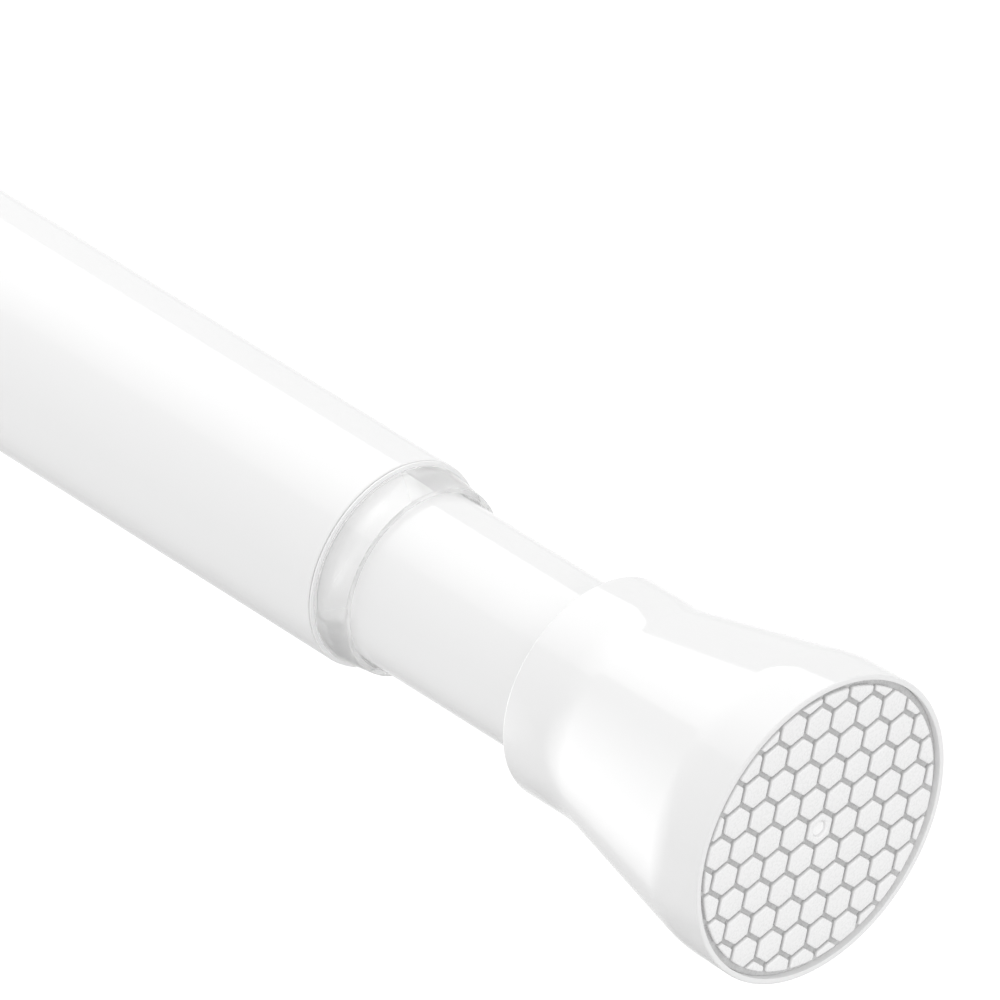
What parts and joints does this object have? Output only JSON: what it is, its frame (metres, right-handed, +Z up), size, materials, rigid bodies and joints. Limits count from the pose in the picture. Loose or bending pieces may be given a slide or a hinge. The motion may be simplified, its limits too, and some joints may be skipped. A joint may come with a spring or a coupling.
{
  "type": "spring tension rod",
  "caption": "Adjustable spring tension rod: two telescoping tubes with flared end caps, honeycomb wall pads and a twist lock.",
  "frame": {"origin": "centre of the wall face of the thick tube's end cap", "axes": "+X along the rod towards the thin tube's end cap, +Z up as it hangs between two walls"},
  "size_m": [0.4246, 0.044, 0.044],
  "materials": {
    "painted_tube": "gloss white powder coat",
    "cap_plastic": "gloss white moulded ABS",
    "pad_rubber": "matt light grey soft plastic",
    "clear_plastic": "clear glossy plastic",
    "plug_plastic": "natural moulded acetal",
    "zinc_steel": "bright zinc plate",
    "spring_steel": "oiled spring wire",
    "grip_rubber": "black rubber"
  },
  "bodies": {
    "root": {"outer_tube": "painted_tube", "outer_end_cap": "cap_plastic", "outer_wall_pad": "pad_rubber", "outer_tube_plug": "plug_plastic", "outer_cap_screw": "zinc_steel", "mouth_collar": "clear_plastic"},
    "lock": {"lock_sleeve": "plug_plastic", "grip_ring": "grip_rubber"},
    "cone": {"lock_cone": "plug_plastic"},
    "spindle": {"spindle": "zinc_steel", "retaining_clip": "zinc_steel", "stop_nut": "zinc_steel", "lock_spring_seat": "zinc_steel", "spring": "spring_steel"},
    "inner_rod": {"inner_tube": "painted_tube", "inner_end_cap": "cap_plastic", "inner_wall_pad": "pad_rubber", "inner_tube_plug": "plug_plastic", "inner_cap_screw": "zinc_steel", "tube_adapter": "cap_plastic", "guide_bush": "plug_plastic", "spindle_guide": "plug_plastic", "guide_pins": "zinc_steel", "tube_spring_seat": "zinc_steel"}
  },
  "joints": [
    {"name": "telescope", "type": "slide", "parent": "root", "child": "lock", "axis": [1, 0, 0], "range_m": [-0.0165, 0.166]},
    {"name": "twist", "type": "hinge", "parent": "lock", "child": "spindle", "pos_m": [0.08, 0, 0], "axis": [1, 0, 0], "range_deg": [0, 720]},
    {"name": "cone_draw", "type": "slide", "parent": "lock", "child": "cone", "axis": [1, 0, 0], "range_m": [0, 0.002]},
    {"name": "spring_travel", "type": "slide", "parent": "spindle", "child": "inner_rod", "axis": [1, 0, 0], "range_m": [-0.015, 0], "stiffness_N_per_m": 3000, "springref_m": 0.005, "deforming": ["spring"]}
  ],
  "couplings": [
    {"joint": "cone_draw", "follows": "twist", "m_per_rad": 0.00015915}
  ]
}
